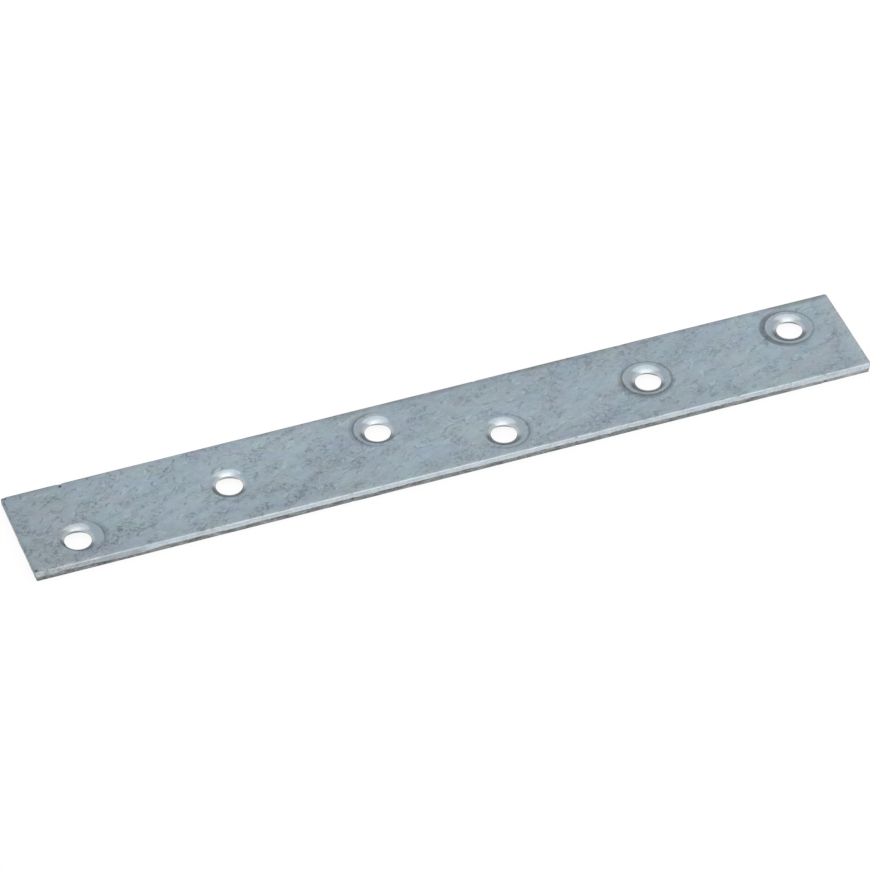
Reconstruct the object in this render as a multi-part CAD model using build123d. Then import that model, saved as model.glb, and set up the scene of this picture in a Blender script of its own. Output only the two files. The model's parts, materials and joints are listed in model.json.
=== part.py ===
from build123d import *
from math import cos, radians, sin, tan
import os

# Flat mending plate: a strip of galvanised sheet steel, cropped to length and punched
# with six countersunk screw holes. Millimetres. The plate lies on its underside, with
# the origin at the middle of that face, +X along it and +Z out of the screw-head side.

# Strip
plate_length = 150.0
plate_width = 20.0
sheet_thickness = 1.75
corner_radius = 0.5

# Sheared edge, from the top face down: die roll, burnished band, torn band. The slitter
# drew the long sides down further than the crop did the ends: width and depth of each roll
side_roll = (0.42, 0.18)
end_roll = (0.30, 0.08)
burnish_end = 0.90
tear_setback = 0.03

# Hole places: a gang of three punches on a slant, struck twice along the strip
punch_pitch = 27.85
punch_stagger = 3.95
strike_pitch = 75.6

# Hole through the sheet. It is punched wider, and pressing the seat squeezes its throat
# in, so that below a short straight wall the hole flares out to the underside
hole_radius = 2.25
flare_radius = 2.95
flare_height = 0.60

# Countersinking punch: a bell that steepens from the seat's rim inwards, and round it a
# raised ring that coins a groove where the punch sank deep enough, then a rising shoulder
seat_radius = 4.0
rim_slope = 4.0
nose_radius = 2.15
nose_slope = 45.0
groove_width = 0.40
groove_depth = 0.045
shoulder_slope = 4.5
punch_radius = 7.0
punch_height = 1.5

# How each seat came out, from -X to +X: how much further than nominal the punch sank,
# how many degrees it leaned, and the way it leaned, in degrees from +X towards +Y
seat_strikes = [
    (-0.085, 1.15, 0.0),
    (-0.06, 0.5, 270.0),
    (-0.02, 0.6, 165.0),
    (-0.025, 0.4, 330.0),
    (0.02, 0.25, 235.0),
    (0.02, 0.7, 180.0),
]


def sheared_section(span, roll_width, roll_depth):
    """Cross-section of the sheet between two sheared edges, `span` apart."""
    half = span / 2
    roll_start = sheet_thickness - roll_depth
    with BuildSketch() as section:
        with BuildLine():
            roll = EllipticalCenterArc((half - roll_width, roll_start), roll_width, roll_depth)
            Polyline(roll @ 0, (half, sheet_thickness - burnish_end), (half - tear_setback, 0), (0, 0))
            Polyline((0, 0), (0, sheet_thickness), roll @ 1)
        make_face()
        mirror(about=Plane.YZ)
    return section.sketch


def strip_blank():
    """The plate before punching: both long sides and both ends sheared, corners eased."""
    along = extrude(Plane.YZ * sheared_section(plate_width, *side_roll), plate_length / 2, both=True)
    across = extrude(Plane.XZ * sheared_section(plate_length, *end_roll), plate_width / 2, both=True)
    outline = extrude(RectangleRounded(plate_length, plate_width, corner_radius), sheet_thickness)
    return along & across & outline


def hole_places():
    """Hole centres from -X to +X: each strike runs on a slant from -Y to +Y."""
    return [
        (strike * strike_pitch / 2 + punch * punch_pitch, punch * punch_stagger)
        for strike in (-1, 1)
        for punch in (-1, 0, 1)
    ]


def through_hole():
    """The punched hole as a solid, standing on the underside: flare below, bore above."""
    with BuildSketch(Plane.XZ) as profile:
        with BuildLine():
            Polyline(
                (0, 0),
                (flare_radius, 0),
                (hole_radius, flare_height),
                (hole_radius, sheet_thickness),
                (0, sheet_thickness),
                close=True,
            )
        make_face()
    return revolve(profile.sketch, Axis.Z)


def seat_punch():
    """The countersinking punch, pointing down, with its seat rim at height 0."""
    start, end = radians(rim_slope), radians(nose_slope)
    bell_radius = (seat_radius - nose_radius) / (sin(end) - sin(start))
    bell_centre = (seat_radius + bell_radius * sin(start), -bell_radius * cos(start))
    shoulder_start = seat_radius + groove_width
    shoulder_end = (punch_radius - shoulder_start) * tan(radians(shoulder_slope))
    with BuildSketch(Plane.XZ) as profile:
        with BuildLine():
            bell = CenterArc(bell_centre, bell_radius, 90 + rim_slope, nose_slope - rim_slope)
            groove = ThreePointArc(
                bell @ 0, (seat_radius + groove_width / 2, -groove_depth), (shoulder_start, 0)
            )
            Polyline(
                groove @ 1,
                (punch_radius, shoulder_end),
                (punch_radius, punch_height),
                (0, punch_height),
                (0, (bell @ 1).Y),
                bell @ 1,
            )
        make_face()
    return revolve(profile.sketch, Axis.Z)


def mending_plate():
    """The blank with its holes punched and their seats pressed."""
    plate = strip_blank()
    hole = through_hole()
    punch = seat_punch()
    for (x, y), (sink, lean, way) in zip(hole_places(), seat_strikes):
        struck = Pos(x, y, sheet_thickness - sink) * Rot(0, 0, way) * Rot(0, lean, 0) * punch
        plate -= Pos(x, y, 0) * hole
        plate -= struck
    return plate


os.makedirs("parts", exist_ok=True)
plate = mending_plate()
plate.label = "plate"
export_step(plate, "parts/plate.step")
print(f"plate: {plate.volume:.0f} mm3")
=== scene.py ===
import json
from math import atan2, ceil, cos, hypot, pi, radians, sin, sqrt

import bmesh
import bpy
from mathutils import Matrix, Vector, noise


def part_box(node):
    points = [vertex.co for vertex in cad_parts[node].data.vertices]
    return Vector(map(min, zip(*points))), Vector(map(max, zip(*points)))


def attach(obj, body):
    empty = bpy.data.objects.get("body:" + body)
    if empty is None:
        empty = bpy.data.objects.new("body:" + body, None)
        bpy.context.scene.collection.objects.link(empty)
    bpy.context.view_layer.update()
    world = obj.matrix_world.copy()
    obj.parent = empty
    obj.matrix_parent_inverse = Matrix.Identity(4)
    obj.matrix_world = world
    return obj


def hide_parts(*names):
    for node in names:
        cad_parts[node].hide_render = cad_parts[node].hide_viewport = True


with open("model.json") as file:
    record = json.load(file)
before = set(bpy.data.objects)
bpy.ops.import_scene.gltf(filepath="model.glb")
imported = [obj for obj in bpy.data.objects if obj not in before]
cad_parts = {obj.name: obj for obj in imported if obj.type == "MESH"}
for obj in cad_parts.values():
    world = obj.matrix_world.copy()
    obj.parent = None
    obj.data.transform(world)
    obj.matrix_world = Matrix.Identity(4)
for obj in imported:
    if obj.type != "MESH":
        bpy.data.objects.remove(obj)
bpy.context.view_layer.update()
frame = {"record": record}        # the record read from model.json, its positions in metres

mm = 0.001
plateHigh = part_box("plate")[1] / mm          # the plate's top corner, its origin being under its middle
screwHoles = [m for m in frame["record"]["mounts"] if m["kind"] == "bore"]
holeCentres = [Vector(m["pos_m"]) / mm for m in screwHoles]


# Camera: a long lens that looks down on the plate from the front left

cameraView = {
    "target": (0, 0, 0.30 * mm),
    "azimuth": -19.6012,                   # degrees round the plate, 0 looks along +Y
    "elevation": 41.4327,
    "roll": -0.7797,
    "slide": (-0.985 * mm, 0.225 * mm),    # sideways and up
    "distance": 965.5 * mm,
    "lens": 235.59,
    "sensor": 36,
    "clips": (0.05, 50),
}


def makeCamera():
    lens = bpy.data.cameras.new("productCamera")
    lens.lens = cameraView["lens"]
    lens.sensor_width = cameraView["sensor"]
    lens.clip_start, lens.clip_end = cameraView["clips"]
    camera = bpy.data.objects.new("productCamera", lens)
    bpy.context.scene.collection.objects.link(camera)
    turn = Matrix.Rotation(radians(cameraView["azimuth"]), 4, "Z")
    tip = Matrix.Rotation(radians(90 - cameraView["elevation"]), 4, "X")
    lean = Matrix.Rotation(radians(cameraView["roll"]), 4, "Z")
    back = Matrix.Translation((*cameraView["slide"], cameraView["distance"]))
    camera.matrix_world = Matrix.Translation(cameraView["target"]) @ turn @ tip @ lean @ back
    bpy.context.scene.camera = camera


makeCamera()
print("camera placed")


# Node helpers

def addNode(tree, kind, values=None, **settings):
    made = tree.nodes.new(kind)
    for name, value in settings.items():
        setattr(made, name, value)
    for key, value in (values or {}).items():
        if isinstance(value, bpy.types.NodeSocket):
            tree.links.new(value, made.inputs[key])
        else:
            made.inputs[key].default_value = value
    return made


def maths(tree, operation, a, b=0.0):
    return addNode(tree, "ShaderNodeMath", {0: a, 1: b}, operation=operation).outputs[0]


def times(tree, value, factor):
    return maths(tree, "MULTIPLY", value, factor)


def total(tree, first, *others):
    for other in others:
        first = maths(tree, "ADD", first, other)
    return first


def fade(tree, value, low, high, toLow=0.0, toHigh=1.0):
    values = {"Value": value, "From Min": low, "From Max": high, "To Min": toLow, "To Max": toHigh}
    return addNode(tree, "ShaderNodeMapRange", values, interpolation_type="SMOOTHSTEP").outputs["Result"]


def mixValue(tree, share, first, second):
    return addNode(tree, "ShaderNodeMix", {0: share, 2: first, 3: second}, data_type="FLOAT").outputs[0]


def mixColour(tree, share, first, second, blend="MIX"):
    values = {0: share, 6: first, 7: second}
    return addNode(tree, "ShaderNodeMix", values, data_type="RGBA", blend_type=blend).outputs[2]


def joinColour(tree, red, green, blue):
    values = {"Red": red, "Green": green, "Blue": blue}
    return addNode(tree, "ShaderNodeCombineColor", values).outputs[0]


def attribute(tree, name):
    return addNode(tree, "ShaderNodeAttribute", attribute_name=name).outputs["Fac"]


def millimetres(tree):
    place = addNode(tree, "ShaderNodeTexCoord").outputs["Object"]
    return addNode(tree, "ShaderNodeMapping", {"Vector": place, "Scale": (1 / mm,) * 3}).outputs[0]


def local(tree, position, centre, size, turn):
    # position measured from a centre, along axes turned in the plane, in units of size
    values = {"Vector": position, "Location": centre, "Rotation": (0, 0, radians(turn)), "Scale": size}
    return addNode(tree, "ShaderNodeMapping", values, vector_type="TEXTURE").outputs[0]


def swirl(tree, position, size, detail=2.0, turn=0.0, seed=0.0):
    # noise with features of the given size in mm, about a mean of 0
    spot = local(tree, position, (seed, seed * 0.7, seed * 0.3), size, turn)
    values = {"Vector": spot, "Scale": 1.0, "Detail": detail, "Roughness": 0.5}
    return maths(tree, "SUBTRACT", addNode(tree, "ShaderNodeTexNoise", values).outputs[0], 0.5)


def openGroup(name, inputs, outputs):
    group = bpy.data.node_groups.new(name, "ShaderNodeTree")
    for label, kind in inputs:
        group.interface.new_socket(label, in_out="INPUT", socket_type="NodeSocket" + kind)
    for label, kind in outputs:
        group.interface.new_socket(label, in_out="OUTPUT", socket_type="NodeSocket" + kind)
    return group, group.nodes.new("NodeGroupInput").outputs, group.nodes.new("NodeGroupOutput").inputs


def placeGroup(tree, group, values):
    return addNode(tree, "ShaderNodeGroup", values, node_tree=group).outputs


def newMaterial(name):
    material = bpy.data.materials.new(name)
    material.use_nodes = True
    material.node_tree.nodes.clear()
    return material, material.node_tree


def shaded(tree, colour, tone):
    return mixColour(tree, 1.0, colour, joinColour(tree, tone, tone, tone), "MULTIPLY")


def metalShader(tree, colour, roughness, height, depth):
    bump = addNode(tree, "ShaderNodeBump", {"Height": height, "Distance": depth * mm})
    values = {"Base Color": colour, "Metallic": 1.0, "Roughness": roughness, "Normal": bump.outputs[0]}
    shader = addNode(tree, "ShaderNodeBsdfPrincipled", values)
    addNode(tree, "ShaderNodeOutputMaterial", {"Surface": shader.outputs[0]})


# The plate's surface layers, one float per vertex, which the materials read; the last two also carry
# painted shade
surfaceLayers = ("rubbed", "polished", "coined", "grimy")


# Zinc coat: a drifting mottle of curled and hatched strokes over fine grain and pits

zincForm = {
    "colour": (0.322, 0.392, 0.443, 1),
    "rubbedColour": (0.322, 0.380, 0.424, 1),     # where the punch slid on it
    "polishedColour": (0.500, 0.545, 0.570, 1),   # the brightest, at the throats and along the edges
    "coinedColour": (0.150, 0.180, 0.198, 1),     # where the punch's ring bit: crushed zinc, darkened further as painted shade in the groove
    # dirt, darkening at nicks, and painted shade along the back edge and the left end
    "grimeColour": (0.19, 0.215, 0.215, 1),
    "roughness": 0.42,
    "rubbedRoughness": 0.19,
    "patchRoughness": 0.12,
    "coinedRoughness": 0.08,
    "reliefDepth": 0.012,
    "brightness": 1.02,
    "sheenTone": 0.24,
    "brushTone": 0.26,
    "wispTone": 0.05,
    "strokeTone": 0.31,
    "hatchShare": 0.6,
    "gleamTone": 0.15,
    "gleamShift": 1.7,                # how far beside a stroke its gleam lies, in widths
    "grainTone": 0.25,
    "fineTone": 0.18,
    "pitTone": 0.18,
    "warmShift": 0.12,
    "greenShift": 0.17,
    "grainRelief": 0.4,
    "fineRelief": 0.2,
    "strokeRelief": 0.7,
    "pitRelief": 0.25,
    "markRelief": 1.0,
    "calmerX": (-45, -5, 1, 0.78),    # the strokes are fainter towards +X
    "rubbedCalm": 0.65,               # how much of the pattern rubbing wiped out
    "mostGrime": 0.9,
}

# What changes along the plate or across it: from and to in mm, and the value at each. The last
# letter of a name is its axis.
zincFades = {
    "handledX": (-72, -55, 0.24, 0),
    # painted shade along the left end
    "endGrimeX": (-75, -74.3, 0.3, 0),
    "nearGrimeY": (-7.5, -5.5, 0.07, 0),
    # painted shade along the back edge's die roll, stronger towards +X
    "backGrimeY": (8.4, 9.5, 0, 1),
    "backGrimeX": (-78, 20, 0.15, 0.5),
    "scrapedX": (-67, -58, 0.75, 0),
    "scrapedY": (-9.5, -8.4, 1, 0),
    "brightEndX": (72.5, 74.6, 0, 0.25),
}

# Each noise's size in mm, detail, turn in degrees and seed
zincNoises = {
    "sheen": ((40, 16, 20), 1, 8, 5),
    "brush": ((2.8, 1.2, 1.5), 2, 18, 29),
    "drift": ((4.8, 2.4, 3), 3, 24, 11),          # runs askew over the sheet and gathers the strokes
    "curlBreaks": ((0.9, 0.9, 0.9), 1, 0, 39),
    "lineBreaks": ((1.9, 1.9, 1.9), 1, 0, 33),
    "hatchUp": ((1.25, 0.26, 0.3), 1, 66, 61),
    "hatchAcross": ((1.25, 0.26, 0.3), 1, -14, 67),
    "markBreaks": ((0.7, 0.3, 0.4), 2, 40, 47),
    "grain": ((0.95, 0.6, 0.6), 2, 20, 17),
    "fine": ((0.42, 0.26, 0.3), 1, -15, 23),
    "pits": ((0.5, 0.34, 0.4), 0, 60, 59),
    "warm": ((5.6, 3.2, 3), 1, 25, 71),
    "green": ((4.6, 2.5, 3), 1, -20, 73),
    "patch": ((6.0, 1.6, 1.6), 2, 0, 79),
}
scrapeNoise = ((1.3, 0.45, 0.5), 2, 16, 83)

# What each noise is turned into: between which two of its values, and the result at each
zincSteps = {
    "wisp": (0.0, 0.17, 0, 1),
    "crowd": (-0.06, 0.10, 0.05, 1),
    "curlBreaks": (-0.02, 0.07, 0, 1),
    "lineBreaks": (0.05, 0.11, 0, 1),
    "hatch": (0.04, 0.18, 0, 1),
    "markBreaks": (-0.14, 0.10, 0.3, 1.3),
    "pits": (0.16, 0.26, 0, 1),
    # the patches of the painted shade along the back edge
    "grimePatches": (-0.12, 0.16, 0.2, 1.2),
    "scrapes": (-0.10, 0.10, 0, 1),
}

# Each kind of stroke's size in mm, turn in degrees, seed and width
zincStrokes = {
    "curls": ((1.3, 0.85, 0.9), -20, 37, 0.13),
    "lines": ((3.4, 1.3, 2), 34, 31, 0.06),
}

# Marks that stand out: centre, length and width in mm, turn in degrees, how much darker
plateMarks = [
    ((-67.8, 6.0), (7.0, 0.35), 33, 0.30), ((-64.7, 9.2), (1.0, 0.9), 60, 0.85),
    ((-74.3, 9.6), (1.6, 1.0), 45, 0.70), ((-74.6, 7.8), (0.5, 3.4), 0, 0.45),
    ((-58.6, -4.7), (2.8, 1.6), 50, 0.20), ((-58.4, -1.0), (7.0, 0.8), 17, 0.13),
    ((-53.4, 4.3), (4.5, 1.0), 28, 0.17), ((-46.2, 3.9), (0.8, 2.2), -12, 0.22),
    ((-49.6, 0.8), (4.5, 1.1), 18, 0.12), ((-51.8, -2.0), (4.0, 1.0), 14, 0.15),
    ((-74.5, -9.3), (1.2, 1.6), 20, 0.60), ((-72.9, -9.9), (1.4, 0.5), 0, 0.50),
    ((-44.6, -5.0), (5.5, 1.6), 34, 0.14), ((-74.0, -4.6), (1.0, 2.4), -38, 0.16),
    ((-27.0, 6.2), (3.0, 1.6), 10, 0.10), ((-26.4, -6.3), (2.4, 1.0), 4, 0.14),
    ((-32.6, -5.6), (3.0, 1.4), 12, 0.10), ((-16.0, -2.3), (3.0, 1.2), 8, 0.14),
    ((-14.2, -6.2), (2.8, 1.0), -22, 0.15), ((4.0, 0.9), (3.4, 1.8), 8, 0.13),
    ((12.8, 6.6), (2.2, 1.4), 12, 0.12), ((24.6, -1.1), (2.2, 1.0), 5, 0.14),
    ((30.2, -2.6), (2.6, 1.6), 10, 0.09), ((44.6, 4.6), (2.6, 1.0), 14, 0.12),
    ((53.0, 3.4), (1.4, 4.2), 28, 0.12), ((57.0, 0.4), (1.2, 4.4), -28, 0.12),
    ((45.2, -5.6), (1.4, 3.6), -30, 0.14), ((71.0, -3.8), (2.4, 4.6), -24, 0.13),
    ((60.0, 3.6), (2.6, 9.0), 0, 0.10), ((64.4, -2.2), (8.0, 2.2), 0, 0.07),
]


def strokes(tree, position, size, turn, seed, width):
    # thin curved lines where a noise crosses its mean, and lighter ones along their side
    level = swirl(tree, position, size, 1, turn, seed)
    dark = fade(tree, maths(tree, "ABSOLUTE", level), 0, width, 1, 0)
    beside = maths(tree, "ABSOLUTE", maths(tree, "SUBTRACT", level, zincForm["gleamShift"] * width))
    return dark, fade(tree, beside, 0, width, 1, 0)


def markMask(tree, position, centre, size, turn):
    # 1 in the middle of an oval and 0 at its rim
    spot = local(tree, position, (*centre, 0), (size[0] / 2, size[1] / 2, 1), turn)
    flat = addNode(tree, "ShaderNodeVectorMath", {0: spot, 1: (1, 1, 0)}, operation="MULTIPLY").outputs[0]
    far = addNode(tree, "ShaderNodeVectorMath", {0: flat}, operation="LENGTH").outputs["Value"]
    return fade(tree, far, 1.0, 0.2)


def zincSkinGroup():
    group, given, out = openGroup("zincSkin", [("Position", "Vector")], [
        ("Tone", "Float"), ("Warm", "Float"), ("Green", "Float"), ("Height", "Float"), ("Patch", "Float")])
    spot, form = given["Position"], zincForm
    place = addNode(group, "ShaderNodeSeparateXYZ", {0: spot}).outputs
    noises = {name: swirl(group, spot, *values) for name, values in zincNoises.items()}

    def step(noiseName, name):
        return fade(group, noises[noiseName], *zincSteps[name])

    wisp, crowd = step("drift", "wisp"), step("drift", "crowd")
    curls, curlGleams = strokes(group, spot, *zincStrokes["curls"])
    lines, lineGleams = strokes(group, spot, *zincStrokes["lines"])
    curlBreaks = times(group, step("curlBreaks", "curlBreaks"), crowd)
    lineBreaks = step("lineBreaks", "lineBreaks")
    hatch = maths(group, "MAXIMUM", step("hatchUp", "hatch"), step("hatchAcross", "hatch"))
    hatch = times(group, hatch, times(group, crowd, form["hatchShare"]))
    dark = maths(group, "MAXIMUM", times(group, curls, curlBreaks), times(group, lines, lineBreaks))
    dark = maths(group, "MAXIMUM", dark, hatch)
    dark = times(group, dark, fade(group, place["X"], *form["calmerX"]))
    gleam = times(group, curlGleams, curlBreaks)
    gleam = maths(group, "MAXIMUM", gleam, times(group, lineGleams, lineBreaks))
    marks = 0.0
    for centre, size, turn, share in plateMarks:
        mask = times(group, markMask(group, spot, centre, size, turn), share)
        marks = maths(group, "MAXIMUM", marks, mask)
    marks = times(group, marks, step("markBreaks", "markBreaks"))
    grain, fine = noises["grain"], noises["fine"]
    pits = times(group, step("pits", "pits"), crowd)
    tone = total(group, form["brightness"], times(group, noises["sheen"], form["sheenTone"]),
                 times(group, noises["brush"], form["brushTone"]), times(group, wisp, -form["wispTone"]),
                 times(group, dark, -form["strokeTone"]), times(group, gleam, form["gleamTone"]),
                 times(group, grain, form["grainTone"]), times(group, fine, form["fineTone"]),
                 times(group, pits, -form["pitTone"]), times(group, marks, -1))
    height = total(group, times(group, grain, form["grainRelief"]), times(group, fine, form["fineRelief"]),
                   times(group, dark, -form["strokeRelief"]), times(group, pits, -form["pitRelief"]),
                   times(group, marks, -form["markRelief"]))
    group.links.new(tone, out["Tone"])
    group.links.new(height, out["Height"])
    group.links.new(noises["warm"], out["Warm"])
    group.links.new(noises["green"], out["Green"])
    group.links.new(noises["patch"], out["Patch"])
    return group


def zincCoat(skin):
    material, tree = newMaterial("zincCoat")
    form = zincForm
    position = millimetres(tree)
    made = placeGroup(tree, skin, {"Position": position})
    place = addNode(tree, "ShaderNodeSeparateXYZ", {0: position}).outputs
    along = {name: fade(tree, place[name[-1]], *values) for name, values in zincFades.items()}
    rubbed, polished, coined, grimy = [attribute(tree, name) for name in surfaceLayers]
    scraped = times(tree, along["scrapedX"], along["scrapedY"])
    scrapes = fade(tree, swirl(tree, position, *scrapeNoise), *zincSteps["scrapes"])
    scraped = times(tree, scraped, scrapes)
    polished = total(tree, polished, scraped, along["brightEndX"])
    colour = mixColour(tree, rubbed, form["colour"], form["rubbedColour"])
    colour = mixColour(tree, polished, colour, form["polishedColour"])
    # crushed zinc, with painted shade that deepens with the groove
    colour = mixColour(tree, coined, colour, form["coinedColour"])
    # painted shade along the back edge, in patches
    backShade = times(tree, along["backGrimeY"], along["backGrimeX"])
    grimeAndShade = times(tree, backShade, fade(tree, made["Patch"], *zincSteps["grimePatches"]))
    # dirt at the handled end and along the front, darkening at nicks, and painted shade, together
    grimeAndShade = total(tree, grimeAndShade, along["handledX"], along["endGrimeX"], along["nearGrimeY"], grimy)
    colour = mixColour(tree, maths(tree, "MINIMUM", grimeAndShade, form["mostGrime"]), colour, form["grimeColour"])
    warm = times(tree, made["Warm"], form["warmShift"])
    green = times(tree, made["Green"], form["greenShift"])
    blue = maths(tree, "SUBTRACT", 1.0, warm)
    tint = joinColour(tree, total(tree, 1.0, warm), total(tree, 1.0, green), blue)
    colour = mixColour(tree, 1.0, colour, tint, "MULTIPLY")
    calm = times(tree, rubbed, form["rubbedCalm"])
    colour = shaded(tree, colour, mixValue(tree, calm, made["Tone"], 1.0))
    rough = mixValue(tree, rubbed, form["roughness"], form["rubbedRoughness"])
    rough = total(tree, rough, times(tree, made["Patch"], form["patchRoughness"]),
                  times(tree, coined, form["coinedRoughness"]))
    metalShader(tree, colour, rough, mixValue(tree, calm, made["Height"], 0.0), form["reliefDepth"])
    return material


# Sheared steel: the clean cut band, and the torn band under it

shearForm = {
    "colour": (0.525, 0.586, 0.63, 1),
    "cropColour": (0.27, 0.31, 0.345, 1),         # the two ends' faces, painted darker as shade
    "cropFrom": (74.6, 74.95),
    "roughness": 0.32,
    "smearRoughness": 0.25,
    "reliefDepth": 0.012,
    "scoreTone": 0.50,
    "streakTone": 0.45,
    "smearTone": 0.55,
    "smearedX": (-58, -54, 0.73, 1),              # from here to the end the cut is smeared and duller
    "chippedX": (-67.5, -66, 1.5, 0),
}

tornForm = {
    "colour": (0.245, 0.263, 0.270, 1),
    "roughness": 0.55,
    "reliefDepth": 0.05,
    "crumbTone": 1.6,
    "stainTone": 1.9,
    "leastTone": 0.25,
    "palerX": (52, 70, 0, 0.40),
    "darkerX": (-72, -56, -0.12, 0),
}

edgeNoises = {
    "scores": ((0.28, 0.28, 2.0), 2, 0, 61),
    "streaks": ((4.5, 4.5, 0.16), 2, 0, 63),
    "smear": ((2.2, 2.2, 0.5), 3, 0, 67),
    "chips": ((0.75, 0.75, 0.45), 2, 0, 69),
    "crumb": ((0.45, 0.45, 0.25), 3, 0, 71),
    "stain": ((3.2, 3.2, 0.9), 2, 0, 73),
}


def shearedSteel():
    material, tree = newMaterial("shearedSteel")
    form = shearForm
    position = millimetres(tree)
    place = addNode(tree, "ShaderNodeSeparateXYZ", {0: position}).outputs
    names = ("scores", "streaks", "smear", "chips")
    scores, streaks, smear, chips = [swirl(tree, position, *edgeNoises[name]) for name in names]
    tone = total(tree, 1.0, times(tree, scores, form["scoreTone"]), times(tree, smear, form["smearTone"]),
                 times(tree, streaks, form["streakTone"]),
                 times(tree, chips, fade(tree, place["X"], *form["chippedX"])))
    tone = times(tree, tone, fade(tree, place["X"], *form["smearedX"]))
    # painted shade on the faces of the two ends
    cropped = fade(tree, maths(tree, "ABSOLUTE", place["X"]), *form["cropFrom"])
    colour = shaded(tree, mixColour(tree, cropped, form["colour"], form["cropColour"]), tone)
    rough = total(tree, form["roughness"], times(tree, smear, form["smearRoughness"]))
    metalShader(tree, colour, rough, total(tree, scores, chips), form["reliefDepth"])
    return material


def tornSteel():
    material, tree = newMaterial("tornSteel")
    form = tornForm
    position = millimetres(tree)
    place = addNode(tree, "ShaderNodeSeparateXYZ", {0: position}).outputs
    crumb, stain = [swirl(tree, position, *edgeNoises[name]) for name in ("crumb", "stain")]
    tone = total(tree, 1.0, times(tree, crumb, form["crumbTone"]), times(tree, stain, form["stainTone"]),
                 fade(tree, place["X"], *form["palerX"]), fade(tree, place["X"], *form["darkerX"]))
    # darker at nicks, and painted shade at the top of the holes' torn flares
    tone = maths(tree, "SUBTRACT", tone, attribute(tree, "grimy"))
    colour = shaded(tree, form["colour"], maths(tree, "MAXIMUM", tone, form["leastTone"]))
    metalShader(tree, colour, form["roughness"], crumb, form["reliefDepth"])
    return material


# Plate: one piece of sheet, from its sheared outline and six pressed seats

plateForm = {
    "cornerRadius": 0.5,
    "sideRoll": (0.42, 0.18),       # width and depth of the die roll along the sides
    "endRoll": (0.26, 0.08),
    "burnishEnd": 0.88,             # depth where the clean cut ends and the sheet tore
    "tearStep": 0.03,
    "tearWander": ((9, 0.14, 9), (1.7, 0.13, 1.7), (0.5, 0.08, 0.5)),   # each ripple's size, height, seed
    "tearRough": ((0.35, 0.035, 11), (0.15, 0.021, 5)),
    "edgeWander": ((6, 0.03, 3),),
    "edgeSetback": 0.015,
    "endLean": (0.06, 0.30),        # how far the ends' cut leans in, after the clean band and at the bottom
    "rollPolish": 0.8,
    "rollRub": 0.6,
    "dullRoll": (-62, 25, 0.2),     # where the roll is dullest, over what length it brightens, least share
    "nickReach": 0.6,
    "nickGrime": 6,                 # how much darker per mm of a nick's depth
    "mostGrime": 0.9,
    "outlineStep": 0.25,
    "gridCell": 1.0,                # mesh of the flat faces
    "topGaps": (0.4, 1.2),          # room between that mesh and the seats, and between it and the edge
    "bottomGaps": (0.7, 1.4),
    "sharpFrom": 32,                # degrees
}

# Where the near edge is cut deeper before it tears: place along X, half length and depth
deepCuts = [(-73, 4, 0.15), (-58.5, 6, 0.34), (68, 9, 0.26)]

# Nicks in the long edges: place along X, side, half width and depth
edgeNicks = [
    (-64.6, 1, 0.5, 0.20), (-74.6, 1, 0.7, 0.16), (9.6, 1, 0.4, 0.10), (20.8, -1, 0.3, 0.10),
    (36.2, 1, 0.6, 0.08), (-19.4, -1, 0.4, 0.08), (66.5, -1, 0.5, 0.08),
]

seatForm = {
    "seatRadius": 4.0,
    "rimSlope": radians(4),
    "noseRadius": 2.15,
    "noseSlope": radians(45),
    "throatRounding": 0.12,
    "grooveWidth": 0.70,            # the punch's raised ring coins a groove round the seat
    "grooveDepth": 0.040,
    "shoulderSlope": 0.02,
    "shoulderEnd": 4.9,             # where the pressed zone starts to run out into the flat
    "fullBite": 0.065,              # depth at which the ring's mark, crushed zinc with painted shade, is at its darkest
    "biteRise": (0.1, 3.0),         # the mark's share at the rim, and what it gains per groove width
    "biteEbb": (1.4, -0.45),
    "mostBite": 0.9,
    "edgeRounding": 0.010,
    "shoulderEbb": 0.2,
    "outerRadius": 5.35,
    "flareRadius": 3.02,            # where the hole keeps its punched width underneath
    "flareTop": 0.88,
    "polishedWidth": 0.55,
    "rimPolish": 0.5,
    "rimFrom": 0.02,                # depth from which the rim is polished
    "fullRub": 0.03,
    "rubRise": 4,                   # per groove width in from the rim
    "slideFrom": (0.2, 1.2),        # how far out from the throat a seat starts to stand off, and over what
    "lipWander": ((1.2, 0.05, 21),),
    "lipRough": ((0.4, 0.03, 31), (0.18, 0.015, 37)),
    # painted shade at the top of the torn flare in each hole, under the wall
    "lipGrime": 0.8,
    "steps": 128,
}

# The map that baked pictures of the surface are drawn through: four strips with both faces of the plate in
# halves, then rows with its long edges in halves, its two ends and its throats
bakeForm = {
    "side": 99,                     # mm of the plate along the map's side
    "margin": 1.2,
    "lift": 0.6,
    "strips": 4,
    "stripPitch": 20.6,
    "rowPitch": 2.35,
    "endRow": 4,
    "endPitch": 25,
    "throatRow": 5,
    "throatPitch": 15.2,
    "throatsInRow": 5,
    "throatReach": 4,               # mm from a hole's middle
}

# How each seat came out, from -X to +X: how much deeper than nominal, how far the punch leaned
# in degrees, which way, in degrees from +X towards +Y, how far it stood off the hole's middle,
# and how much wider it left the throat
seatStrikes = [
    (-0.085, 1.4, 0, (0.20, 0), 0.06),
    (-0.06, 0.5, 270, (0, 0), 0.05),
    (-0.02, 0.6, 165, (0.10, 0.12), 0),
    (-0.015, 0.4, 330, (0, 0), 0),
    (0.02, 0.25, 235, (-0.22, 0.12), 0),
    (0.03, 0.5, 185, (-0.18, -0.03), 0),
]

zincSlot, shearSlot, tornSlot = 0, 1, 2


def ripples(x, y, z, waves):
    # how far small waves, each with its size, height and seed, move a point of the metal
    return sum(height * noise.noise(Vector((x / size + seed, y / size, z / size)))
               for size, height, seed in waves)


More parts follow.
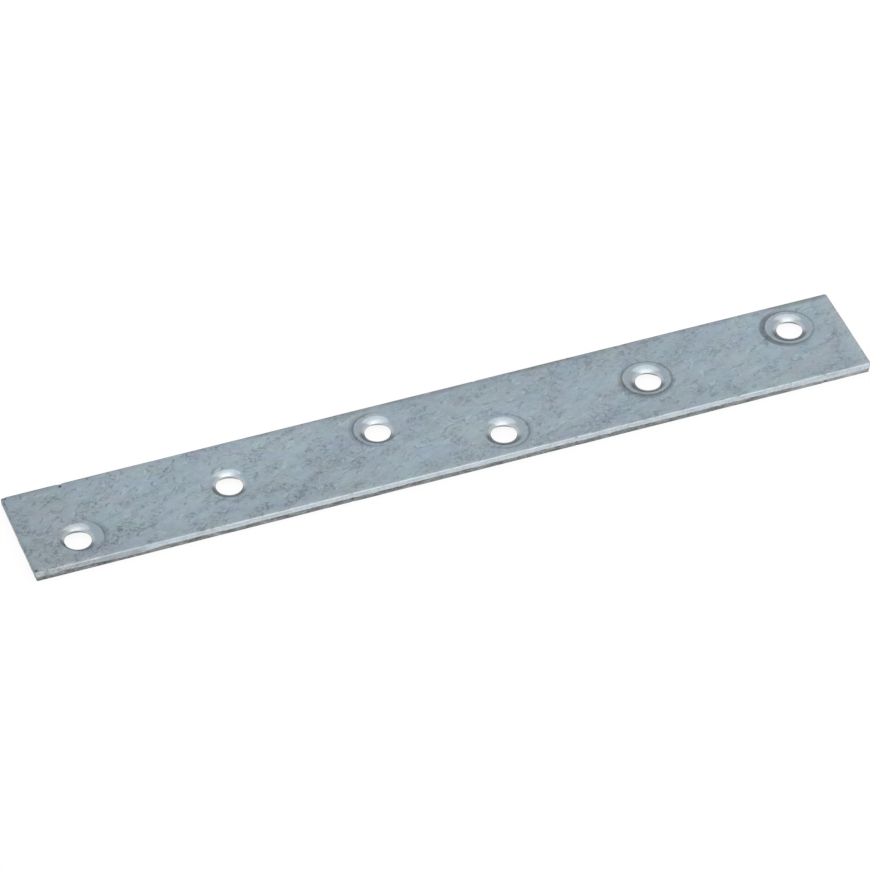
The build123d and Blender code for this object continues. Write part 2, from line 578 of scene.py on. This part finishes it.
def edgesOf(verts):
    # each edge at these vertices, once and in order
    return list(dict.fromkeys(e for v in verts for e in v.link_edges))


def ordered(edges):
    # the vertices of a closed loop of edges, in walking order
    walk = [edges[0].verts[0], edges[0].verts[1]]
    own = set(edges)
    while len(walk) < len(edges):
        ahead = [e for e in walk[-1].link_edges if e in own and e.other_vert(walk[-1]) is not walk[-2]]
        walk.append(ahead[0].other_vert(walk[-1]))
    return walk


def extrudeRow(bm, edges, place, slot):
    # one more row of faces from a loop of edges, each new vertex put where place says
    made = bmesh.ops.extrude_edge_only(bm, edges=edges)["geom"]
    for item in made:
        if isinstance(item, bmesh.types.BMVert):
            place(item)
        elif isinstance(item, bmesh.types.BMFace):
            item.material_index = slot
    return [item for item in made if isinstance(item, bmesh.types.BMEdge)]


def roundedOutline(bm):
    made = bmesh.ops.create_grid(bm, x_segments=1, y_segments=1, size=1)["verts"]
    bmesh.ops.scale(bm, vec=(plateHigh.x, plateHigh.y, 1), verts=made)
    bmesh.ops.bevel(bm, geom=made, offset=plateForm["cornerRadius"], offset_type="OFFSET",
                    segments=6, profile=0.5, affect="VERTICES", material=-1)
    bmesh.ops.delete(bm, geom=bm.faces[:], context="FACES_ONLY")
    for edge in [e for e in bm.edges if e.calc_length() > 1]:
        cuts = round(edge.calc_length() / plateForm["outlineStep"]) - 1
        bmesh.ops.subdivide_edges(bm, edges=[edge], cuts=cuts)
    return bm.edges[:]


def outward(x, y):
    # the way out of the plate, level, at a point of its outline
    radius = plateForm["cornerRadius"]
    coreX, coreY = plateHigh.x - radius, plateHigh.y - radius
    core = Vector((max(-coreX, min(coreX, x)), max(-coreY, min(coreY, y))))
    return (Vector((x, y)) - core).normalized()


def nickDepth(x, y):
    cuts = [depth * max(0, 1 - ((x - at) / width) ** 2)
            for at, side, width, depth in edgeNicks if side * y > plateHigh.y - plateForm["nickReach"]]
    return max(cuts, default=0)


def edgeSpot(x, y, band, share):
    # where a point of the outline lies in a band of the sheared edge, this far down the band
    top, away = plateHigh.z, outward(x, y)
    end = abs(away.x)
    (sideWidth, sideDepth), (endWidth, endDepth) = plateForm["sideRoll"], plateForm["endRoll"]
    width, depth = sideWidth + (endWidth - sideWidth) * end, sideDepth + (endDepth - sideDepth) * end
    nick = nickDepth(x, y)
    wander = plateForm["edgeSetback"] + ripples(x, y, 0, plateForm["edgeWander"])
    inset = nick + wander * (share if band == "roll" else 1)
    tearTop = top - plateForm["burnishEnd"] + ripples(x, y, 0, plateForm["tearWander"])
    for at, half, deeper in deepCuts:
        tearTop -= deeper * max(0, 1 - ((x - at) / half) ** 2) if y < 0 else 0
    if band == "roll":
        inset += width * (1 - sin(share * pi / 2)) * (1 - nick / width)
        z = top - depth * (1 - cos(share * pi / 2))
    elif band == "burnish":
        z = top - depth + (tearTop - top + depth) * share
        inset += plateForm["endLean"][0] * share * end
    else:
        z = tearTop * (1 - share)
        step = min(1, share * 12) * (1 - share ** 3)
        inset += step * (plateForm["tearStep"] + ripples(x, y, z, plateForm["tearRough"]))
        low, lowest = plateForm["endLean"]
        inset += (low + (lowest - low) * share) * end
    inset = max(inset, 0)
    return Vector((x - away.x * inset, y - away.y * inset, z))


def shearEdge(bm, layers):
    loop = roundedOutline(bm)
    spots = []
    for vert in ordered(loop):
        vert[layers["spot"]] = len(spots)
        spots.append((vert.co.x, vert.co.y))
        vert.co = edgeSpot(*spots[-1], "roll", 0)
    rows = [("roll", share, zincSlot) for share in (0.25, 0.5, 0.75, 1)]
    rows += [("burnish", share, shearSlot) for share in (0.33, 0.67, 1)]
    rows += [("tear", share, tornSlot) for share in (0.05, 0.2, 0.36, 0.52, 0.68, 0.84, 1)]
    dullStart, dullRun, dullShare = plateForm["dullRoll"]
    row = loop
    for band, share, slot in rows:
        def place(vert):
            x, y = spots[vert[layers["spot"]]]
            vert.co = edgeSpot(x, y, band, share)
            # darker where the edge is nicked, by the nick's depth
            vert[layers["grimy"]] = min(plateForm["mostGrime"], plateForm["nickGrime"] * nickDepth(x, y))
            side = 1 - abs(outward(x, y).x) if band == "roll" else 0
            bright = max(dullShare, min(1, (x - dullStart) / dullRun))
            vert[layers["polished"]] = plateForm["rollPolish"] * share * side * bright
            vert[layers["rubbed"]] = plateForm["rollRub"] * share * side
        row = extrudeRow(bm, row, place, slot)
    return loop, row


def bellRadius():
    form = seatForm
    return (form["seatRadius"] - form["noseRadius"]) / (sin(form["noseSlope"]) - sin(form["rimSlope"]))


def punchFace(radius):
    # height of the punch's face over the plane of the seat's rim
    form = seatForm
    beyond = radius - form["seatRadius"]
    if beyond < 0:
        across = beyond - bellRadius() * sin(form["rimSlope"])
        return sqrt(bellRadius() ** 2 - across ** 2) - bellRadius() * cos(form["rimSlope"])
    across = beyond / form["grooveWidth"]
    if across < 1:
        return -form["grooveDepth"] * sin(pi * across) ** 2
    return form["shoulderSlope"] * (beyond - form["grooveWidth"])


def seatHeight(radius, angle, strike):
    # height of the pressed face of the sheet, which rounds over where it leaves the flat
    sink, lean, way = strike[:3]
    cut = punchFace(radius) - sink - sin(radians(lean)) * radius * cos(angle - radians(way))
    start, end = seatForm["shoulderEnd"], seatForm["outerRadius"]
    ebb = max(0, min(1, (radius - start) / (end - start)))
    cut += seatForm["shoulderEbb"] * ebb ** 3
    soft = seatForm["edgeRounding"]
    return plateHigh.z + (cut - sqrt(cut ** 2 + soft ** 2)) / 2


def spread(start, end, count):
    return [start + (end - start) * (i + 1) / count for i in range(count)]


def pressHole(bm, layers, centre, bore, strike):
    form = seatForm
    top, steps, outer, rim = plateHigh.z, form["steps"], form["outerRadius"], form["seatRadius"]
    slide, wider = strike[3:]
    slideStart, slideRun = form["slideFrom"]
    flare = form["flareRadius"] + wider
    bore += wider
    made = bmesh.ops.create_circle(bm, cap_ends=False, segments=steps, radius=outer)["verts"]
    loop = edgesOf(made)
    for vert in made:
        vert[layers["spot"]] = round(atan2(vert.co.y, vert.co.x) * steps / (2 * pi))

    def angleOf(vert):
        return vert[layers["spot"]] * 2 * pi / steps

    def at(vert, radius, z):
        share = max(0, min(1, (radius - bore - slideStart) / slideRun))
        x, y = centre.x + slide[0] * share, centre.y + slide[1] * share
        vert.co = Vector((x + radius * cos(angleOf(vert)), y + radius * sin(angleOf(vert)), z))

    for vert in made:
        at(vert, outer, top)

    def onFace(vert):
        z = seatHeight(radius, angleOf(vert), strike)
        at(vert, radius, z)
        beyond = (radius - rim) / form["grooveWidth"]
        rise, ebb = [share + gain * beyond for share, gain in (form["biteRise"], form["biteEbb"])]
        bite = max(0, min(form["mostBite"], rise, ebb))
        atRim = form["rimPolish"] if radius == rim and z < top - form["rimFrom"] else 0
        vert[layers["polished"]] = max(atRim, 1 - (radius - throat) / form["polishedWidth"])
        # the ring's mark: crushed zinc, and painted shade that grows with the depth
        vert[layers["coined"]] = min(1, (top - z) / form["fullBite"]) * bite
        inside = max(0, min(1, -form["rubRise"] * beyond))
        vert[layers["rubbed"]] = min(1, (top - z) / form["fullRub"]) * inside

    rounding = form["throatRounding"]
    reach = rim - bore - 0.5 * rounding
    steepest = atan2(reach, sqrt(bellRadius() ** 2 - reach ** 2))
    throat = bore + rounding * (1 - sin(steepest))
    row = loop
    ring = rim + form["grooveWidth"]
    for radius in spread(outer, ring, 9) + spread(ring, rim, 8) + spread(rim, throat, 18):
        row = extrudeRow(bm, row, onFace, zincSlot)

    def lip(angle, slope):
        return seatHeight(throat, angle, strike) - rounding * (cos(steepest) - cos(slope))

    for slope in spread(steepest, pi / 2, 4):
        def onLip(vert):
            at(vert, bore + rounding * (1 - sin(slope)), lip(angleOf(vert), slope))
            vert[layers["polished"]] = 1
        row = extrudeRow(bm, row, onLip, zincSlot)

    def breakLine(angle):
        x, y = centre.x + bore * cos(angle), centre.y + bore * sin(angle)
        return form["flareTop"] + wider + ripples(x, y, 0, form["lipWander"])

    for share in (0.33, 0.67, 1):
        def onWall(vert):
            start, end = lip(angleOf(vert), pi / 2), breakLine(angleOf(vert))
            at(vert, bore, start + (end - start) * share)
        row = extrudeRow(bm, row, onWall, shearSlot)
    for share in (0.08, 0.3, 0.5, 0.7, 0.85, 1):
        def onTear(vert):
            x, y = centre.x + bore * cos(angleOf(vert)), centre.y + bore * sin(angleOf(vert))
            z = breakLine(angleOf(vert)) * (1 - share)
            rough = ripples(x, y, z, form["lipRough"])
            at(vert, bore + (flare - bore) * share + rough * min(1, 4 * share), z)
            # painted shade at the top of the torn flare, fading downwards
            vert[layers["grimy"]] = max(0, form["lipGrime"] - share)
        row = extrudeRow(bm, row, onTear, tornSlot)
    return loop, row


def flatFace(bm, z, loops, holeRadius, gaps):
    # a grid with room left round the holes and along the edge, and triangles between it and the loops
    gap, margin = gaps
    halfX, halfY = plateHigh.x - margin, plateHigh.y - margin
    countX, countY = [ceil(2 * half / plateForm["gridCell"]) for half in (halfX, halfY)]
    made = bmesh.ops.create_grid(bm, x_segments=countX, y_segments=countY, size=1)["verts"]
    bmesh.ops.scale(bm, vec=(halfX, halfY, 1), verts=made)
    bmesh.ops.translate(bm, vec=(0, 0, z), verts=made)
    near = [v for v in made
            if any(hypot(v.co.x - h.x, v.co.y - h.y) < holeRadius + gap for h in holeCentres)]
    bmesh.ops.delete(bm, geom=near, context="VERTS")
    kept = edgesOf([v for v in made if v.is_valid])
    bmesh.ops.delete(bm, geom=[e for e in kept if e.is_wire], context="EDGES")
    rims = [e for e in kept if e.is_valid and e.is_boundary] + [e for loop in loops for e in loop]
    filled = bmesh.ops.triangle_fill(bm, edges=rims, use_beauty=True, use_dissolve=False)
    for face in filled["geom"]:
        if isinstance(face, bmesh.types.BMFace):
            face.material_index = zincSlot


def bakeSpot(face, vert):
    # where a face's corner lies on the map, in mm
    form, middle = bakeForm, face.calc_center_median()
    x, y, z = vert.co
    across = x + form["margin"] + (0 if middle.x > 0 else plateHigh.x)
    if face.material_index == zincSlot:
        strip = (0 if face.normal.z > 0 else 2) + (middle.x > 0)
        return across, y + plateHigh.y + form["lift"] + strip * form["stripPitch"]
    far, number = min((hypot(middle.x - h.x, middle.y - h.y), i) for i, h in enumerate(holeCentres))
    if far < form["throatReach"]:
        hole, radius = holeCentres[number], screwHoles[number]["dims"]["r_mm"]
        facing = atan2(middle.y - hole.y, middle.x - hole.x)
        turn = (atan2(y - hole.y, x - hole.x) - facing + pi) % (2 * pi) + facing
        row = form["throatRow"] + number // form["throatsInRow"]
        across = form["margin"] + turn * radius + number % form["throatsInRow"] * form["throatPitch"]
    elif abs(face.normal.y) > abs(face.normal.x):
        row = (0 if y < 0 else 2) + (middle.x > 0)
    else:
        row = form["endRow"]
        across = form["margin"] + plateHigh.y + y + (0 if x < 0 else form["endPitch"])
    return across, z + form["lift"] + form["strips"] * form["stripPitch"] + row * form["rowPitch"]


def layBakeMap(bm):
    layer = bm.loops.layers.uv.new("OFBake")
    for face in bm.faces:
        for loop in face.loops:
            loop[layer].uv = Vector(bakeSpot(face, loop.vert)) / bakeForm["side"]


def makePlate():
    bm = bmesh.new()
    layers = {"spot": bm.verts.layers.int.new("spot")}
    for name in surfaceLayers:
        layers[name] = bm.verts.layers.float.new(name)
    topLoop, bottomLoop = shearEdge(bm, layers)
    tops, bottoms = [topLoop], [bottomLoop]
    for mount, centre, strike in zip(screwHoles, holeCentres, seatStrikes):
        topLoop, bottomLoop = pressHole(bm, layers, centre, mount["dims"]["r_mm"], strike)
        tops.append(topLoop)
        bottoms.append(bottomLoop)
    flatFace(bm, plateHigh.z, tops, seatForm["outerRadius"], plateForm["topGaps"])
    flatFace(bm, 0, bottoms, seatForm["flareRadius"], plateForm["bottomGaps"])
    bmesh.ops.recalc_face_normals(bm, faces=bm.faces[:])
    layBakeMap(bm)
    bmesh.ops.scale(bm, vec=(mm, mm, mm), verts=bm.verts[:])
    for face in bm.faces:
        face.smooth = True
    for edge in bm.edges:
        edge.smooth = edge.calc_face_angle(0) < radians(plateForm["sharpFrom"])
    mesh = bpy.data.meshes.new("plateSheet")
    bm.to_mesh(mesh)
    bm.free()
    plate = bpy.data.objects.new("plateSheet", mesh)
    bpy.context.scene.collection.objects.link(plate)
    return plate


plate = makePlate()
for material in (zincCoat(zincSkinGroup()), shearedSteel(), tornSteel()):
    plate.data.materials.append(material)
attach(plate, "root")
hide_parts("plate")
print("plate made")


# Studio: a pale sweep, two soft lamps overhead, and a bright room with a dark stretch behind the plate

studio = {
    "sweepColour": (0.85, 0.85, 0.85, 1),
    "sweepGlow": 0.90,
    "sweepRadius": 4.0,
    "sweepSides": 96,
    "sweepRise": 0.30,
    "sweepFlare": 1.05,
    "sweepGap": 0.01 * mm,
    "skyStrength": 1.0,
    "darkWay": (0.40, 0.916),         # beyond the sweep, behind the plate, the room is dark
    "darkSpread": (0.80, 0.98),
    "darkHeights": (0.14, 0.55),      # the sine of the height up to which it is darkest, and where it ends
    "darkness": 0.85,
    "lampColour": (1.0, 0.93, 0.87),
    "lamps": [
        {"name": "softboxWide", "size": 1.45, "place": (0.12, -0.24, 1.20), "power": 4.7},
        {"name": "softboxCentre", "size": 0.85, "place": (0.12, -0.44, 1.15), "power": 0.85},
    ],
}


def makeSweep():
    bm = bmesh.new()
    bmesh.ops.create_circle(bm, cap_ends=True, segments=studio["sweepSides"], radius=studio["sweepRadius"])
    rim = bmesh.ops.extrude_edge_only(bm, edges=bm.edges[:])["geom"]
    raised = [item for item in rim if isinstance(item, bmesh.types.BMVert)]
    bmesh.ops.scale(bm, vec=(studio["sweepFlare"], studio["sweepFlare"], 1), verts=raised)
    bmesh.ops.translate(bm, vec=(0, 0, studio["sweepRise"]), verts=raised)
    bmesh.ops.translate(bm, vec=(0, 0, -studio["sweepGap"]), verts=bm.verts[:])
    bmesh.ops.recalc_face_normals(bm, faces=bm.faces[:])
    mesh = bpy.data.meshes.new("studioSweep")
    bm.to_mesh(mesh)
    bm.free()
    sweep = bpy.data.objects.new("studioSweep", mesh)
    bpy.context.scene.collection.objects.link(sweep)
    material, tree = newMaterial("paleSweep")
    path = addNode(tree, "ShaderNodeLightPath").outputs
    seen = total(tree, path["Is Camera Ray"], path["Is Glossy Ray"], path["Is Transmission Ray"])
    share = times(tree, maths(tree, "MINIMUM", seen, 1.0), studio["sweepGlow"])
    paint = addNode(tree, "ShaderNodeBsdfDiffuse", {"Color": studio["sweepColour"]}).outputs[0]
    glow = addNode(tree, "ShaderNodeEmission", {"Color": (1, 1, 1, 1), "Strength": 1.0}).outputs[0]
    mix = addNode(tree, "ShaderNodeMixShader", {0: share, 1: paint, 2: glow})
    addNode(tree, "ShaderNodeOutputMaterial", {"Surface": mix.outputs[0]})
    mesh.materials.append(material)


def makeSky():
    world = bpy.data.worlds.new("studioRoom")
    bpy.context.scene.world = world
    world.use_nodes = True
    tree = world.node_tree
    tree.nodes.clear()
    way = addNode(tree, "ShaderNodeTexCoord").outputs["Generated"]
    rise = addNode(tree, "ShaderNodeSeparateXYZ", {0: way}).outputs["Z"]
    values = {0: way, 1: (*studio["darkWay"], 0)}
    behind = addNode(tree, "ShaderNodeVectorMath", values, operation="DOT_PRODUCT").outputs["Value"]
    dark = times(tree, fade(tree, behind, *studio["darkSpread"]),
                 fade(tree, rise, *studio["darkHeights"], studio["darkness"], 0))
    strength = times(tree, maths(tree, "SUBTRACT", 1.0, dark), studio["skyStrength"])
    sky = addNode(tree, "ShaderNodeBackground", {"Color": (1, 1, 1, 1), "Strength": strength})
    addNode(tree, "ShaderNodeOutputWorld", {"Surface": sky.outputs[0]})


def makeLamp(form):
    light = bpy.data.lights.new(form["name"], "AREA")
    light.shape = "SQUARE"
    light.size = form["size"]
    light.energy = form["power"]
    light.color = studio["lampColour"]
    lamp = bpy.data.objects.new(form["name"], light)
    bpy.context.scene.collection.objects.link(lamp)
    lamp.location = form["place"]


makeSweep()
makeSky()
for form in studio["lamps"]:
    makeLamp(form)
bpy.context.scene.view_settings.view_transform = "Standard"
print("studio lit")
